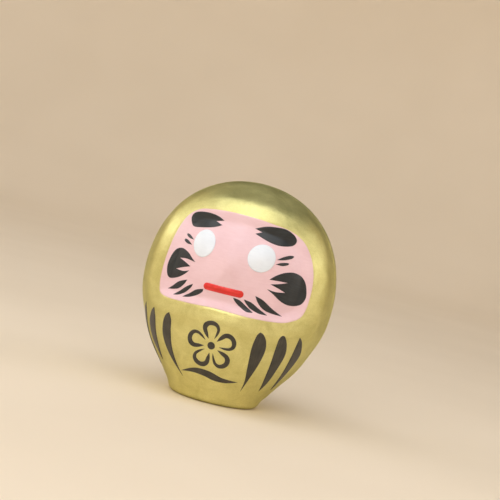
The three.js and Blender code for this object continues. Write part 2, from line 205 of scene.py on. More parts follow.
def inside_distance(outline, x, z):
    """Distance inside a closed outline, negative outside it."""
    a = outline
    d = np.roll(a, -1, 0) - a
    px = np.asarray(x, float).reshape(-1, 1) - a[:, 0]
    pz = np.asarray(z, float).reshape(-1, 1) - a[:, 1]
    w = np.clip((px * d[:, 0] + pz * d[:, 1]) / np.maximum((d * d).sum(1), 1e-12), 0, 1)
    near = np.hypot(px - w * d[:, 0], pz - w * d[:, 1]).min(1)
    crosses = (pz < 0) != (pz < d[:, 1])
    left = px < pz * d[:, 0] / np.where(np.abs(d[:, 1]) < 1e-12, 1e-12, d[:, 1])
    inside = (crosses & left).sum(1) % 2 == 1
    return np.where(inside, near, -near).reshape(np.shape(x))


PANEL_OUTLINE = rounded(PANEL, 1.5)


def relief(x, z):
    """How far the front stands out of its plain rounded form."""
    d = inside_distance(PANEL_OUTLINE, x, z)
    height = -PANEL_RECESS * smooth((d + 0.6) / PANEL_SLOPE)
    height += RIM_HEIGHT * bell((d + RIM_OFFSET) / RIM_WIDTH)
    height += (NOSE["height"] * bell((x - NOSE["x"]) / NOSE["across"])
               * bell((z - NOSE["z"]) / NOSE["along"]))
    for eye in (EYE_LEFT, EYE_RIGHT):
        height += (EYE_DOME * bell((x - eye["x"]) / (eye["across"] * 1.1))
                   * bell((z - eye["z"]) / (eye["along"] * 1.1)))
    return height


def profile_at(t):
    spans = len(PROFILE) - 3
    span = np.clip(np.floor(t * spans), 0, spans - 1).astype(int)
    w = (t * spans - span)[:, None]
    return through(PROFILE[span], PROFILE[span + 1], PROFILE[span + 2], PROFILE[span + 3], w).T


def soft_min(a, b, blend):
    h = np.maximum(blend - np.abs(a - b), 0) / blend
    return np.minimum(a, b) - h * h * blend / 4


def plain_point(angle, t):
    r, z = profile_at(t)
    c = np.cos(angle)
    rear = soft_min(-REAR_DEPTH * r * c, BACK_FLAT_Y, BACK_BLEND)
    return np.stack([r * np.sin(angle), np.where(c > 0, -FRONT_DEPTH * r * c, rear), z], 1)


def normal_of(point, angle, t):
    e = 1e-3
    low = np.maximum(t - e, 1e-4)
    high = np.minimum(t + e, 1)
    mid = (low + high) / 2
    across = point(angle + e, mid) - point(angle - e, mid)
    n = np.cross(point(angle, high) - point(angle, low), across)
    return n / np.maximum(np.linalg.norm(n, axis=1, keepdims=True), 1e-12)


LUMP = 0.075     # unevenness of the hand-pasted paper
LUMP_WAVES = (((0.21, 0.12, 0.15), 0.4, 1.0), ((-0.16, 0.27, 0.30), 1.9, 0.8),
              ((0.38, -0.22, 0.19), 4.0, 0.6), ((-0.33, -0.30, 0.47), 2.2, 0.4))


def lumps(p, angle):
    """Shallow waves all over, none at the seam, the crown, the magnet's seat and the base."""
    height = sum(size * np.sin(p @ np.array(wave) + start) for wave, start, size in LUMP_WAVES)
    z = p[:, 2]
    off_seam = smooth((np.abs(np.cos(angle)) - 0.08) / 0.25)
    off_crown = smooth(np.hypot(p[:, 0], p[:, 1]) / 7)
    off_seat = 1 - smooth((-np.cos(angle) - 0.6) / 0.12) * smooth((55 - z) / 6)
    return LUMP * height * off_seam * off_crown * off_seat * smooth((z - 1) / 4)


def formed_point(angle, t):
    """The outside of the paper, with its face and its unevenness."""
    p = plain_point(angle, t)
    fade = smooth((np.cos(angle) - 0.1) / 0.3)
    height = fade * relief(p[:, 0], p[:, 2]) + lumps(p, angle)
    return p + height[:, None] * normal_of(plain_point, angle, t)


def layer_point(angle, t, offset):
    """The outside moved out by offset along its own normals."""
    return formed_point(angle, t) + (normal_of(formed_point, angle, t).T * offset).T


T_TABLE = np.linspace(0, 1, 4001)
Z_TABLE = np.minimum.accumulate(profile_at(T_TABLE)[1])


def t_at(z):
    """t at a height of the plain form."""
    return np.interp(-z, -Z_TABLE, T_TABLE)


# ---- meshes ----
def smooth_mesh(name, points, faces, uv=None):
    """An object from points in millimetres. uv holds one pair per point."""
    mesh = bpy.data.meshes.new(name)
    mesh.from_pydata((np.asarray(points) * MM).tolist(), [], [tuple(f) for f in faces])
    mesh.polygons.foreach_set("use_smooth", [True] * len(mesh.polygons))
    if uv is not None:
        layer = mesh.uv_layers.new(name="stroke")
        corners = np.zeros(len(mesh.loops), np.int32)
        mesh.loops.foreach_get("vertex_index", corners)
        layer.data.foreach_set("uv", np.asarray(uv, np.float32)[corners].ravel())
    mesh.validate()
    mesh.update()
    obj = bpy.data.objects.new(name, mesh)
    bpy.context.scene.collection.objects.link(obj)
    return obj


def finish_piece(obj, material, slot, *nodes):
    """Gives a piece its finish and lets it stand for its CAD nodes."""
    obj.data.materials.append(material)
    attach(obj, "root")
    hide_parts(*nodes)
    return obj


def grid_faces(rows, columns, start=0, closed=False, flip=False):
    faces = []
    wide = columns if closed else columns - 1
    for i in range(rows - 1):
        for j in range(wide):
            k = (j + 1) % columns
            quad = (start + i * columns + j, start + (i + 1) * columns + j,
                    start + (i + 1) * columns + k, start + i * columns + k)
            faces.append(quad[::-1] if flip else quad)
    return faces


# ---- the paper shells ----
BASE_ROWS = 5
SHARP_ANGLE = 50        # degrees


def base_ring(angle, radius, z):
    depth = np.where(np.cos(angle) > 0, FRONT_DEPTH, REAR_DEPTH)
    return np.stack([radius * np.sin(angle), -depth * radius * np.cos(angle),
                     np.full_like(angle, z)], 1)


def half_shell(name, first, last, columns, rows):
    """One half of the hollow body, between two angles: outside, inside, seam edges and the
    edge of the hole in the base."""
    angle = np.linspace(first, last, columns)
    ts = np.linspace(0, 1, rows + 1)[1:]
    outer = [formed_point(angle, np.full(columns, t)) for t in ts]
    inner = [row - WALL * normal_of(plain_point, angle, np.full(columns, t))
             for row, t in zip(outer, ts)]
    for row in inner:
        row[:, 2] = np.maximum(row[:, 2], WALL)
    edge_r = PROFILE[-2][0]
    for k in range(1, BASE_ROWS + 1):
        radius = edge_r + (HOLE_R - edge_r) * k / BASE_ROWS
        outer.append(base_ring(angle, radius, 0.0))
        inner.append(base_ring(angle, radius, WALL))
    count = len(outer)
    crown = PROFILE[1][1]
    points = np.concatenate([[(0, 0, crown), (0, 0, crown - WALL)], *outer, *inner])
    start_out = 2
    start_in = 2 + count * columns
    faces = grid_faces(count, columns, start_out) + grid_faces(count, columns, start_in, flip=True)
    for j in range(columns - 1):
        faces.append((0, start_out + j, start_out + j + 1))
        faces.append((1, start_in + j + 1, start_in + j))
        out_edge = start_out + (count - 1) * columns + j
        in_edge = start_in + (count - 1) * columns + j
        faces.append((out_edge, in_edge, in_edge + 1, out_edge + 1))
    for j, flip in ((0, False), (columns - 1, True)):
        rims = [(0, 1)] + [(start_out + i * columns + j, start_in + i * columns + j)
                           for i in range(count)]
        for (a, b), (c, d) in zip(rims, rims[1:]):
            faces.append((a, b, d, c) if not flip else (a, c, d, b))
    shell = smooth_mesh(name, points, faces)
    shell.data.set_sharp_from_angle(angle=math.radians(SHARP_ANGLE))
    return shell


# ---- the paper strip over the seam ----
STRIP_LIFT = 0.15
STRIP_CENTRE_Z = 32.0
STRIP_REACH = 40.0      # farther from the doll's middle than any of its outline
HALVINGS = 40
TORN_INSET = 0.22
TORN_DEPTH = 0.2
STRIP_EDGE_SINK = 0.12  # how far the strip's own edge dips into the paper


def surface_along(direction, y):
    """Where lines out of the doll's middle, in x and z, leave its plain form at a given y."""
    low = np.zeros(len(y))
    high = np.full(len(y), STRIP_REACH)
    for _ in range(HALVINGS):
        mid = (low + high) / 2
        x = mid * direction[:, 0]
        z = STRIP_CENTRE_Z + mid * direction[:, 1]
        r = np.maximum(profile_at(t_at(np.clip(z, 0, PROFILE[1][1])))[0], 1e-6)
        depth = np.where(y < 0, FRONT_DEPTH, REAR_DEPTH)
        inside = (z < PROFILE[1][1]) & (z > 0) & ((x / r) ** 2 + (y / (depth * r)) ** 2 < 1)
        low = np.where(inside, mid, low)
        high = np.where(inside, high, mid)
    return np.stack([low * direction[:, 0], y, STRIP_CENTRE_Z + low * direction[:, 1]], 1)


def seam_strip(along, across):
    """A torn-edged paper band over the joint, from foot to foot over the crown."""
    foot = float(profile_at(t_at(np.array([STRIP_FOOT_Z])))[0][0])
    end = math.atan2(foot, STRIP_FOOT_Z - STRIP_CENTRE_Z)
    turn = np.repeat(np.linspace(-end, end, along), across)
    share = np.tile(np.linspace(-1, 1, across), along)
    torn = (np.sin(23 * turn) + np.sin(41 * turn + 1.3) + 0.7 * np.sin(83 * turn + 2.1)) / 2.7
    half = STRIP_HALF - TORN_INSET + TORN_DEPTH * torn * np.sign(share + 1e-9)
    direction = np.stack([np.sin(turn), np.cos(turn)], 1)
    points = surface_along(direction, share * half)
    side = surface_along(direction, share * half + 0.05)
    ahead_turn = turn + 2e-3
    ahead = surface_along(np.stack([np.sin(ahead_turn), np.cos(ahead_turn)], 1), share * half)
    normals = np.cross(ahead - points, side - points)
    normals /= np.linalg.norm(normals, axis=1, keepdims=True)
    normals *= np.sign((normals * (points - (0, 0, STRIP_CENTRE_Z))).sum(1))[:, None]
    ends = smooth((1 - np.abs(turn) / end) * 60)
    lift = STRIP_LIFT * smooth((1 - np.abs(share)) * 3.5) * ends
    points = points + normals * (lift - STRIP_EDGE_SINK * (lift < 0.01))[:, None]
    return smooth_mesh("seam_strip_piece", points, grid_faces(along, across))


# ---- painted films ----
ARC_R = 25.0        # millimetres of arc per radian, for even triangles
CORRECTION = 0.8    # share of what is left of the error that one pass takes back
WIDEST_TURN = 1.45  # films stop short of the seam


def on_surface(outline):
    """Turns x, z points of the finished front into (arc, height) on the plain form."""
    x = outline[:, 0]
    z = outline[:, 1]
    r = profile_at(t_at(z))[0]
    angle = np.arcsin(np.clip(x / r, -0.985, 0.985))
    height = z.copy()
    for _ in range(14):
        t = t_at(height)
        p = formed_point(angle, t)
        r = profile_at(t)[0]
        turn = (x - p[:, 0]) / (r * np.maximum(np.cos(angle), 0.18))
        angle = np.clip(angle + CORRECTION * turn, -WIDEST_TURN, WIDEST_TURN)
        height = np.clip(height + CORRECTION * (z - p[:, 2]), 0.5, PROFILE[1][1] - 0.5)
    return np.stack([ARC_R * angle, height], 1)


EDGE_RINGS = (0.04, 0.11, 0.2, 0.32)
EDGE_SINK = 0.02     # how far a film's edge dips under its underside


def inner_ring(loop, distance):
    """A loop's points moved sideways, once to each side."""
    step = np.roll(loop, -1, 0) - np.roll(loop, 1, 0)
    side = np.stack([-step[:, 1], step[:, 0]], 1)
    side /= np.maximum(np.linalg.norm(side, axis=1, keepdims=True), 1e-9)
    return np.concatenate([loop + distance * side, loop - distance * side])


def film(name, outline, low, thick, spacing, edge=0.2, crown=0.0):
    """A film of paint: its outline on the doll, its underside at `low` off the paper, a rounded
    edge `edge` wide, and a slight crown in its middle."""
    loop = on_surface(outline)
    points = [loop]
    for ring in EDGE_RINGS:
        p = inner_ring(loop, ring)
        points.append(p[inside_distance(loop, p[:, 0], p[:, 1]) > 0.9 * ring])
    lo = loop.min(0)
    hi = loop.max(0)
    gx, gz = np.meshgrid(np.arange(lo[0], hi[0], spacing),
                         np.arange(lo[1], hi[1], spacing * 0.866))
    gx = gx + (np.arange(gx.shape[0]) % 2)[:, None] * spacing / 2
    p = np.stack([gx.ravel(), gz.ravel()], 1)
    points.append(p[inside_distance(loop, p[:, 0], p[:, 1]) > EDGE_RINGS[-1] + 0.4 * spacing])
    n = len(loop)
    edges = [(i, (i + 1) % n) for i in range(n)]
    verts, _, faces, *_ = delaunay_2d_cdt([Vector(v) for v in np.concatenate(points).tolist()],
                                          edges, [], 0, 1e-5)
    flat = np.array([tuple(v) for v in verts])
    faces = np.array([f for f in faces if len(f) == 3])
    middles = flat[faces].mean(1)
    faces = faces[inside_distance(loop, middles[:, 0], middles[:, 1]) > 0]
    used, faces = np.unique(faces, return_inverse=True)
    flat = flat[used]
    faces = faces.reshape(-1, 3)
    d = np.maximum(inside_distance(loop, flat[:, 0], flat[:, 1]), 0)
    round_edge = np.sqrt(np.maximum(1 - (1 - np.clip(d / edge, 0, 1)) ** 2, 0))
    height = low - EDGE_SINK + (thick + EDGE_SINK) * round_edge
    height += crown * smooth(d / max(float(d.max()), 1e-6))
    solid = layer_point(flat[:, 0] / ARC_R, t_at(flat[:, 1]), height)
    axis = np.linalg.svd(flat - flat.mean(0), full_matrices=False)[2]
    uv = (flat - flat.mean(0)) @ axis.T
    return smooth_mesh(name, solid, faces.tolist(), uv)


def petal_outline(index):
    a = FLOWER["tilt"] + 2 * math.pi * index / FLOWER["petals"]
    return [(FLOWER["x"] - out * math.sin(a) + side * math.cos(a),
             FLOWER["z"] + out * math.cos(a) + side * math.sin(a), *corner)
            for out, side, *corner in PETAL]


def bar_outline(x0, x1, z, half, count):
    """A bar with round ends."""
    a = np.linspace(-np.pi / 2, np.pi / 2, count)
    right = np.stack([x1 - half + half * np.cos(a), z + half * np.sin(a)], 1)
    left = np.stack([x0 + half - half * np.cos(a), z - half * np.sin(a)], 1)
    top = np.linspace(right[-1], left[0], 2 * count)[1:-1]
    foot = np.linspace(left[-1], right[0], 2 * count)[1:-1]
    return np.concatenate([right, top, left, foot])


# ---- materials ----
class Look:
    """A material and short ways to add its nodes. Lengths are in millimetres."""

    def __init__(self, name):
        self.material = bpy.data.materials.new(name)
        self.material.use_nodes = True
        self.tree = self.material.node_tree
        self.shader = self.tree.nodes["Principled BSDF"]
        coordinates = self.tree.nodes.new("ShaderNodeTexCoord")
        self.place = self.scaled(coordinates.outputs["Object"], (1000, 1000, 1000))
        self.uv = coordinates.outputs["UV"]

    def scaled(self, vector, scale):
        node = self.tree.nodes.new("ShaderNodeMapping")
        node.inputs["Scale"].default_value = scale
        self.tree.links.new(vector, node.inputs["Vector"])
        return node.outputs["Vector"]

    def noise(self, vector, scale, detail=3.0, rough=0.5, twist=0.0):
        node = self.tree.nodes.new("ShaderNodeTexNoise")
        node.inputs["Scale"].default_value = scale
        node.inputs["Detail"].default_value = detail
        node.inputs["Roughness"].default_value = rough
        node.inputs["Distortion"].default_value = twist
        self.tree.links.new(vector, node.inputs["Vector"])
        return node.outputs["Fac"]

    def cells(self, vector, scale, output="Distance"):
        node = self.tree.nodes.new("ShaderNodeTexVoronoi")
        node.inputs["Scale"].default_value = scale
        self.tree.links.new(vector, node.inputs["Vector"])
        return node.outputs[output]

    def ramp(self, value, *stops):
        node = self.tree.nodes.new("ShaderNodeValToRGB")
        elements = node.color_ramp.elements
        while len(elements) < len(stops):
            elements.new(0.5)
        for element, (position, colour) in zip(elements, stops):
            element.position = position
            element.color = (*colour, 1) if len(colour) == 3 else colour
        self.tree.links.new(value, node.inputs["Fac"])
        return node.outputs["Color"]

    def mix(self, share, a, b, blend="MIX"):
        node = self.tree.nodes.new("ShaderNodeMix")
        node.data_type = "RGBA"
        node.blend_type = blend
        for value, socket in ((share, 0), (a, 6), (b, 7)):
            self.set(node.inputs[socket], value)
        return node.outputs[2]

    def sum(self, *parts):
        """A weighted sum of values: each part is (value, weight)."""
        total = None
        for value, weight in parts:
            scaled = self.math("MULTIPLY", value, weight)
            total = scaled if total is None else self.math("ADD", total, scaled)
        return total

    def math(self, operation, a, b=0.0, clamp=False):
        node = self.tree.nodes.new("ShaderNodeMath")
        node.operation = operation
        node.use_clamp = clamp
        self.set(node.inputs[0], a)
        self.set(node.inputs[1], b)
        return node.outputs[0]

    def range(self, value, low, high, to_low, to_high):
        node = self.tree.nodes.new("ShaderNodeMapRange")
        for key, number in zip(("From Min", "From Max", "To Min", "To Max"),
                               (low, high, to_low, to_high)):
            node.inputs[key].default_value = number
        self.tree.links.new(value, node.inputs["Value"])
        return node.outputs["Result"]

    def split(self, vector):
        node = self.tree.nodes.new("ShaderNodeSeparateXYZ")
        self.tree.links.new(vector, node.inputs[0])
        return node.outputs

    def bump(self, height, depth, normal=None):
        node = self.tree.nodes.new("ShaderNodeBump")
        node.inputs["Strength"].default_value = 1.0
        node.inputs["Distance"].default_value = depth * MM
        self.tree.links.new(height, node.inputs["Height"])
        if normal is not None:
            self.tree.links.new(normal, node.inputs["Normal"])
        return node.outputs["Normal"]

    def set(self, socket, value):
        if isinstance(value, bpy.types.NodeSocket):
            self.tree.links.new(value, socket)
        elif socket.type == "RGBA" and len(value) == 3:
            socket.default_value = (*value, 1)
        else:
            socket.default_value = value

    def finish(self, **inputs):
        for name, value in inputs.items():
            self.set(self.shader.inputs[name.replace("_", " ")], value)
        return self.material


FLAKE_EDGE = (0.42, 0.40, 0.26)     # flakes lie flat, so the paint darkens when seen edge-on


def gold_paint(name, dark, light, wear):
    """Satin metallic paint laid by hand over paper: cloudy tone, faint brush marks, fine
    flakes, dimples where the pasted paper is uneven, and rubbed spots."""
    look = Look(name)
    blotch = look.noise(look.place, 0.16, 5, 0.6, 0.7)
    dimple = look.noise(look.place, 0.24, 2, 0.45, 0.2)
    brush = look.noise(look.scaled(look.place, (0.3, 0.3, 1.7)), 1.0, 4, 0.6, 0.9)
    fibre = look.noise(look.place, 0.9, 6, 0.62, 0.6)
    flake = look.split(look.cells(look.place, 7.0, "Color"))[0]
    tone = look.sum((blotch, 0.68), (brush, 0.17), (flake, 0.15))
    colour = look.ramp(tone, (0.32, dark), (0.68, light))
    spots = look.noise(look.place, 0.42, 7, 0.72, 0.2)
    rub = look.range(spots, 0.66, 0.73, 0.0, wear)
    colour = look.mix(rub, colour, (0.34, 0.29, 0.13))
    rough = look.math("ADD", look.sum((brush, 0.10), (flake, 0.10), (blotch, 0.16)), 0.24)
    normal = look.bump(dimple, 0.16)
    normal = look.bump(fibre, 0.085, normal)
    normal = look.bump(brush, 0.012, normal)
    normal = look.bump(flake, 0.005, normal)
    return look.finish(Base_Color=colour, Metallic=0.86, Roughness=rough, Normal=normal,
                       Specular_Tint=FLAKE_EDGE, Coat_Weight=0.16, Coat_Roughness=0.3)


def flat_paint(name, dark, light, rough, sheen_depth=0.02):
    """Matt water paint with faint brush marks over paper fibre."""
    look = Look(name)
    cloud = look.noise(look.place, 0.16, 3, 0.5, 0.3)
    brush = look.noise(look.scaled(look.place, (0.35, 0.35, 1.9)), 1.0, 4, 0.6, 0.5)
    fibre = look.noise(look.place, 0.8, 5, 0.6, 0.5)
    colour = look.ramp(look.sum((cloud, 0.6), (brush, 0.4)), (0.36, dark), (0.64, light))
    normal = look.bump(fibre, 0.04)
    normal = look.bump(brush, sheen_depth, normal)
    roughness = look.range(brush, 0.3, 0.7, rough - 0.06, rough + 0.08)
    return look.finish(Base_Color=colour, Roughness=roughness, Normal=normal,
                       Specular_IOR_Level=0.45)


def ink(name, depth, thick, thin):
    """Black brush paint with streaks along the stroke, thinner and browner where dry."""
    look = Look(name)
    streak = look.noise(look.scaled(look.uv, (0.16, 2.6, 1)), 1.0, 5, 0.6, 0.25)
    patch = look.noise(look.place, 0.35, 3, 0.5, 0.4)
    tone = look.sum((streak, 0.6), (patch, 0.4))
    colour = look.ramp(tone, (0.36, thick), (0.62, thin))
    rough = look.range(streak, 0.3, 0.7, 0.30, 0.46)
    normal = look.bump(streak, depth)
    return look.finish(Base_Color=colour, Roughness=rough, Normal=normal, Specular_IOR_Level=0.5,
                       Coat_Weight=0.12, Coat_Roughness=0.2)


def lip_paint():
    """Glossy vermilion with one darker line drawn along it; the red also turns darker towards its
    right end.
    """
    look = Look("lip_red")
    x, _, z = look.split(look.place)
    waver = look.noise(look.scaled(look.place, (0.35, 0, 0)), 1.0, 2, 0.5)
    offset = look.math("SUBTRACT", z, look.math("ADD", look.math("MULTIPLY", waver, 0.5),
                                                MOUTH["z"] - 0.42))
    line = look.range(look.math("ABSOLUTE", offset), 0.16, 0.42, 1.0, 0.0)
    # the red turns darker from x 2.4 to 4.6 mm, towards the mouth's right end
    right_end_dark = look.range(x, 2.4, 4.6, 0.0, 0.8)
    cloud = look.noise(look.place, 0.5, 3, 0.5, 0.3)
    body = look.ramp(cloud, (0.38, (0.66, 0.020, 0.020)), (0.62, (0.80, 0.034, 0.032)))
    body = look.mix(look.math("MAXIMUM", line, right_end_dark, True), body, (0.64, 0.014, 0.008))
    normal = look.bump(look.noise(look.scaled(look.place, (0.4, 1, 3)), 1.0, 3, 0.5), 0.03)
    return look.finish(Base_Color=body, Roughness=0.28, Normal=normal, Coat_Weight=0.3,
                       Coat_Roughness=0.12)


def ferrite():
    """Dark sintered magnet with ground marks and small pits."""
    look = Look("ferrite_grey")
    grain = look.noise(look.place, 3.2, 6, 0.7)
    ground = look.noise(look.scaled(look.place, (0.3, 1.0, 9.0)), 1.0, 3, 0.6)
    pits = look.range(look.cells(look.place, 1.1), 0.0, 0.16, 0.0, 1.0)
    colour = look.ramp(look.sum((grain, 0.6), (ground, 0.4)), (0.35, (0.018, 0.018, 0.019)),
                       (0.68, (0.065, 0.064, 0.063)))
    normal = look.bump(pits, 0.03, look.bump(ground, 0.01))
    rough = look.range(grain, 0.3, 0.7, 0.34, 0.6)
    return look.finish(Base_Color=colour, Metallic=0.25, Roughness=rough, Normal=normal)


def dried_glue():
    look = Look("dried_glue")
    cloud = look.noise(look.place, 0.5, 4, 0.6, 0.8)
    colour = look.ramp(cloud, (0.3, (0.42, 0.30, 0.13)), (0.7, (0.66, 0.54, 0.31)))
    normal = look.bump(look.noise(look.place, 1.4, 3, 0.5), 0.05)
    return look.finish(Base_Color=colour, Roughness=0.24, Normal=normal, Subsurface_Weight=0.15,
                       Subsurface_Radius=(0.0012, 0.0008, 0.0004))


def rough_clay():
    look = Look("rough_clay")
    cloud = look.noise(look.place, 0.3, 5, 0.6, 0.6)
    grit = look.noise(look.place, 3.0, 6, 0.7)
    colour = look.ramp(look.sum((cloud, 0.6), (grit, 0.4)), (0.34, (0.16, 0.085, 0.045)),
                       (0.66, (0.34, 0.20, 0.115)))
    normal = look.bump(look.sum((grit, 0.5), (cloud, 0.5)), 0.16)
    return look.finish(Base_Color=colour, Roughness=0.92, Normal=normal)


GOLD = gold_paint("gold_paint", (0.62, 0.58, 0.225), (0.83, 0.785, 0.36), 0.35)
BASE_GOLD = gold_paint("worn_base_gold", (0.40, 0.33, 0.11), (0.62, 0.54, 0.22), 0.9)
PINK = flat_paint("face_pink", (0.77, 0.525, 0.575), (0.83, 0.595, 0.65), 0.46, 0.008)
WHITE = flat_paint("eye_white", (0.74, 0.80, 0.89), (0.80, 0.86, 0.95), 0.32, 0.006)
FACE_INK = ink("face_black", 0.02, (0.008, 0.010, 0.012), (0.022, 0.028, 0.033))
BELLY_INK = ink("belly_black", 0.02, (0.013, 0.012, 0.011), (0.056, 0.050, 0.040))
RED = lip_paint()
FERRITE = ferrite()
GLUE = dried_glue()
CLAY = rough_clay()

# ---- the body ----
HALF_TURN = math.pi / 2
SEAM_TURN = 0.0008      # half the glue line between the shells, as an angle
FRONT_GRID = (190, 210)
REAR_GRID = (110, 210)

front = half_shell("front_shell_piece", SEAM_TURN - HALF_TURN, HALF_TURN - SEAM_TURN, *FRONT_GRID)
finish_piece(front, GOLD, "gold_painted_paper", "front_shell")
rear = half_shell("rear_shell_piece", HALF_TURN + SEAM_TURN, 3 * HALF_TURN - SEAM_TURN, *REAR_GRID)
finish_piece(rear, GOLD, "gold_painted_paper", "rear_shell")
finish_piece(seam_strip(420, 17), GOLD, "gold_painted_paper", "seam_strip")


def turned(name, rings, columns, squash=None):
    """A solid turned round z from (radius, z) rings; squash shapes each ring's depth."""
    angle = np.linspace(0, 2 * np.pi, columns, endpoint=False)
    points = []
    for radius, z in rings:
        ring = np.stack([radius * np.sin(angle), -radius * np.cos(angle),
                         np.full(columns, z)], 1)
        points.append(squash(ring, angle) if squash else ring)
    rows = len(rings)
    points = np.concatenate(points)
    first = points[:columns].mean(0)
    last = points[-columns:].mean(0)
    points = np.concatenate([points, [first, last]])
    low_first = rings[0][1] < rings[-1][1]
    faces = grid_faces(rows, columns, closed=True, flip=low_first)
    for j in range(columns):
        k = (j + 1) % columns
        end = (rows - 1) * columns
        first_fan = (rows * columns, k, j)
        last_fan = (rows * columns + 1, end + j, end + k)
        if not low_first:
            first_fan = (rows * columns, j, k)
            last_fan = (rows * columns + 1, end + k, end + j)
        faces += [first_fan, last_fan]
    return smooth_mesh(name, points, faces)


def like_base(ring, angle):
    """Follows the base: deeper in front than behind."""
    depth = np.where(ring[:, 1] < 0, FRONT_DEPTH, REAR_DEPTH)
    return ring * np.stack([np.ones_like(depth), depth, np.ones_like(depth)], 1)


def base_plate():
    r = HOLE_R - PLATE_GAP
    soft = 0.18
    rings = [(r * 0.5, 0.0), (r - soft, 0.0), (r - 0.05, 0.06), (r, soft), (r, WALL - soft),
             (r - 0.05, WALL - 0.06), (r - soft, WALL), (r * 0.5, WALL)]
    return turned("base_plate_piece", rings, 96, like_base)


finish_piece(base_plate(), BASE_GOLD, "gold_painted_card", "base_plate")

# ---- inside: weight and glue ----
GLUE_TOP = WALL + GAP + GLUE_THICK
CLAY_POINTS = np.array([(9.6, -2.0), (9.6, 0), (11.4, 2), (11.8, 4.2), (10.6, 6.6), (7.6, 8.3),
                        (3.6, 9.2), (0, 9.4)])
WEIGHT_FLATTEN = 0.68
WEIGHT_SHIFT_Y = -1.0
GLUE_INSET = 0.6


def clay_rings():
    """The weight's half section, rounded through its points from the foot up."""
    rings = []
    for i in range(1, len(CLAY_POINTS) - 2):
        rings += [tuple(through(*CLAY_POINTS[i - 1:i + 3], w)) for w in (0, 0.25, 0.5, 0.75)]
    return rings


def like_weight(ring, angle):
    z = ring[:, 2]
    lumpy = 1 + 0.012 * np.sin(5 * angle + z) + 0.01 * np.sin(9 * angle - 2 * z) - 0.02
    return np.stack([ring[:, 0] * lumpy, ring[:, 1] * lumpy * WEIGHT_FLATTEN + WEIGHT_SHIFT_Y,
                     z + GLUE_TOP + GAP], 1)


def like_glue(ring, angle):
    uneven = 1 - 0.02 + 0.02 * np.sin(4 * angle + 1) * np.sin(7 * angle)
    depth = np.where(ring[:, 1] < 0, FRONT_DEPTH, REAR_DEPTH)
    return np.stack([ring[:, 0] * uneven, ring[:, 1] * depth * uneven, ring[:, 2]], 1)


finish_piece(turned("base_weight_piece", clay_rings(), 96, like_weight), CLAY, "fired_clay",
             "base_weight")
GLUE_R = HOLE_R - GLUE_INSET
glue_rings = [(GLUE_R * 0.5, WALL + GAP), (GLUE_R, WALL + GAP), (GLUE_R, GLUE_TOP),
              (GLUE_R * 0.5, GLUE_TOP)]
finish_piece(turned("weight_glue_piece", glue_rings, 64, like_glue), GLUE, "glue", "weight_glue")

# ---- the magnet on the back ----
MAGNET_Y = BACK_FLAT_Y + 2 * GAP + GLUE_THICK


def on_back(start):
    """Lays a ring that was turned round z on the back, its z counted from y = start."""
    def place(ring, angle):
        return np.stack([-ring[:, 0], ring[:, 2] + start, MAGNET_Z - ring[:, 1]], 1)
    return place


def magnet():
    bevel = 0.32
    r = MAGNET_R
    h = MAGNET_THICK
    rings = [(r * 0.4, 0), (r - bevel - 0.05, 0), (r - bevel, 0.02), (r - 0.03, bevel - 0.03),
             (r, bevel + 0.05), (r, h / 2), (r, h - bevel - 0.05), (r - 0.03, h - bevel + 0.03),
             (r - bevel, h - 0.02), (r - bevel - 0.05, h), (r * 0.4, h)]
    return turned("magnet_piece", rings, 160, on_back(MAGNET_Y))


def magnet_glue():
    """A film that has crept out a little round the magnet."""
    def place(ring, angle):
        creep = (0.22 * np.sin(3 * angle + 0.6) + 0.16 * np.sin(7 * angle + 2)
                 + 0.1 * np.sin(12 * angle))
        radius = np.hypot(ring[:, 0], ring[:, 1])
        wide = 1 + creep * (radius > 8) / np.maximum(radius, 1)
        return on_back(BACK_FLAT_Y)(ring * np.stack([wide, wide, np.ones_like(wide)], 1), angle)
    rings = [(6, 0.01), (10.35, 0.01), (10.45, 0.06), (10.3, 0.2), (9.9, GLUE_THICK + GAP),
             (6, GLUE_THICK + GAP)]
    return turned("magnet_glue_piece", rings, 128, place)


finish_piece(magnet_glue(), GLUE, "glue", "magnet_glue")
finish_piece(magnet(), FERRITE, "ferrite", "magnet")

# ---- the painting ----
FINE = 0.16         # outline step of the strokes
SECOND = 2 * GAP + PAINT

face = film("face_paint_piece", rounded(PANEL, 0.3), GAP, PAINT, 0.5, edge=0.3)
finish_piece(face, PINK, "pink_paint", "face_paint")
for eye_name, eye in (("eye_left", EYE_LEFT), ("eye_right", EYE_RIGHT)):
    outline = oval(eye["x"], eye["z"], eye["across"], eye["along"], 120)
    piece = film(eye_name + "_piece", outline, SECOND, 0.14, 0.32, edge=0.3, crown=0.08)
    finish_piece(piece, WHITE, "white_paint", eye_name)
for stroke, points in FACE_STROKES.items():
    piece = film(stroke + "_piece", rounded(points, FINE), SECOND, 0.1, 0.3)
    finish_piece(piece, FACE_INK, "black_ink", stroke)
for stroke, points in BELLY_STROKES.items():
    piece = film(stroke + "_piece", rounded(points, FINE * 1.5), GAP, 0.1, 0.4)
    finish_piece(piece, BELLY_INK, "black_ink", stroke)
for i in range(FLOWER["petals"]):
    node = f"blossom_petal_{i + 1}"
    piece = film(node + "_piece", rounded(petal_outline(i), FINE), GAP, 0.1, 0.3)
    finish_piece(piece, BELLY_INK, "black_ink", node)
dot_outline = oval(FLOWER["x"], FLOWER["z"], FLOWER["dot"], FLOWER["dot"], 48)
dot = film("blossom_centre_piece", dot_outline, GAP, 0.12, 0.3)
finish_piece(dot, BELLY_INK, "black_ink", "blossom_centre")
stem = film("blossom_stem_piece", rounded(STEM, FINE), GAP, 0.1, 0.3)
finish_piece(stem, BELLY_INK, "black_ink", "blossom_stem")
mouth = bar_outline(MOUTH["x0"], MOUTH["x1"], MOUTH["z"], MOUTH["half"], 28)
lips = film("lips_piece", mouth, SECOND, 0.22, 0.25, edge=0.45, crown=0.05)
finish_piece(lips, RED, "red_paint", "lips")


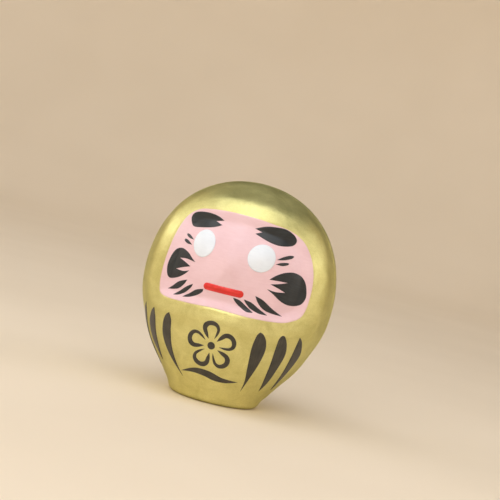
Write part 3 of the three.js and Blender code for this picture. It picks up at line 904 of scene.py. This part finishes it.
# ---- the stage ----
def paper_backdrop():
    """A pale floor that rises all round into a soft wall."""
    look = Look("backdrop_beige")
    tooth = look.noise(look.place, 0.9, 5, 0.6)
    cloud = look.noise(look.place, 0.01, 2, 0.5)
    colour = look.ramp(look.sum((tooth, 0.15), (cloud, 0.85)), (0.3, (0.83, 0.72, 0.57)),
                       (0.7, (0.87, 0.76, 0.61)))
    normal = look.bump(tooth, 0.03)
    return look.finish(Base_Color=colour, Roughness=0.85, Normal=normal, Specular_IOR_Level=0.2)


COVE_STEPS = 12


def cove(radius, bend, height, columns=96):
    rings = [(0.5, 0.0), (radius * 0.5, 0.0), (radius, 0.0)]
    for i in range(1, COVE_STEPS + 1):
        a = math.pi / 2 * i / COVE_STEPS
        rings.append((radius + bend * math.sin(a), bend * (1 - math.cos(a))))
    rings.append((radius + bend, height))
    angle = np.linspace(0, 2 * np.pi, columns, endpoint=False)
    points = [(0, 0, 0)]
    for r, z in rings:
        points += [(r * math.cos(a), r * math.sin(a), z) for a in angle]
    faces = grid_faces(len(rings), columns, 1, closed=True)
    faces += [(0, 1 + (j + 1) % columns, 1 + j) for j in range(columns)]
    obj = smooth_mesh("backdrop", points, faces)
    obj.data.materials.append(paper_backdrop())


cove(700.0, 260.0, 900.0)


def card(name, place, size, turn):
    """A black card that only shows in the doll's reflections."""
    w, h = size
    obj = smooth_mesh(name, [(-w, 0, -h), (w, 0, -h), (w, 0, h), (-w, 0, h)], [(0, 1, 2, 3)])
    look = Look(name + "_black")
    obj.data.materials.append(look.finish(Base_Color=(0.012, 0.012, 0.014), Roughness=0.9))
    obj.location = [c * MM for c in place]
    obj.rotation_euler = (0, 0, math.radians(turn))
    obj.visible_camera = False
    obj.visible_diffuse = False
    obj.visible_shadow = False


card("card_left", (-190, 190, 90), (90, 88), -45)
card("card_right", (190, 190, 90), (90, 88), 45)
card("card_back", (0, 260, 190), (150, 100), 0)


def softbox(name, place, aim, size, power, colour=(1, 1, 1)):
    data = bpy.data.lights.new(name, "AREA")
    data.shape = "RECTANGLE"
    data.size = size[0] * MM
    data.size_y = size[1] * MM
    data.energy = power
    data.color = colour
    obj = bpy.data.objects.new(name, data)
    obj.location = [c * MM for c in place]
    direction = Vector(aim) - Vector(place)
    obj.rotation_euler = direction.to_track_quat("-Z", "Y").to_euler()
    obj.visible_camera = False
    bpy.context.scene.collection.objects.link(obj)


softbox("key", (-40, -260, 560), (0, 0, 35), (900, 460), 2.3, (1.0, 0.99, 0.98))
softbox("front", (-170, -930, 330), (0, 0, 30), (930, 560), 7.2, (0.98, 0.99, 1.0))
softbox("left", (-930, 10, 350), (0, 0, 35), (540, 500), 2.2, (0.99, 0.99, 1.0))
softbox("right", (930, 10, 350), (0, 0, 35), (540, 500), 2.0, (0.99, 0.99, 1.0))
softbox("back", (-80, 900, 560), (0, 0, 35), (620, 420), 1.2)

world = bpy.data.worlds.new("studio")
world.use_nodes = True
world.node_tree.nodes["Background"].inputs["Color"].default_value = (0.95, 0.97, 1.0, 1)
world.node_tree.nodes["Background"].inputs["Strength"].default_value = 0.18
bpy.context.scene.world = world
bpy.context.scene.view_settings.view_transform = "Standard"

# ---- the camera ----
AZIMUTH = 8.5
ELEVATION = 3.0
ROLL = 13.4
DISTANCE = 450.0
LENS = 110.0
MIDDLE = (0.0, 0.0, 32.65)
OFF_CENTRE = (-3.6, -12.1)      # where the doll's middle lies from the middle of the view


def make_camera():
    a = math.radians(AZIMUTH)
    e = math.radians(ELEVATION)
    back = Vector((math.sin(a) * math.cos(e), -math.cos(a) * math.cos(e), math.sin(e)))
    level = (-back).to_track_quat("-Z", "Y").to_matrix()
    turn = level @ Matrix.Rotation(math.radians(ROLL), 3, "Z")
    right = turn.col[0]
    up = turn.col[1]
    aim = Vector(MIDDLE) - right * OFF_CENTRE[0] - up * OFF_CENTRE[1]
    data = bpy.data.cameras.new("camera")
    data.lens = LENS
    data.clip_start = 0.01
    data.clip_end = 20
    obj = bpy.data.objects.new("camera", data)
    place = (aim + back * DISTANCE) * MM
    obj.matrix_world = Matrix.Translation(place) @ turn.to_4x4()
    bpy.context.scene.collection.objects.link(obj)
    bpy.context.scene.camera = obj


make_camera()
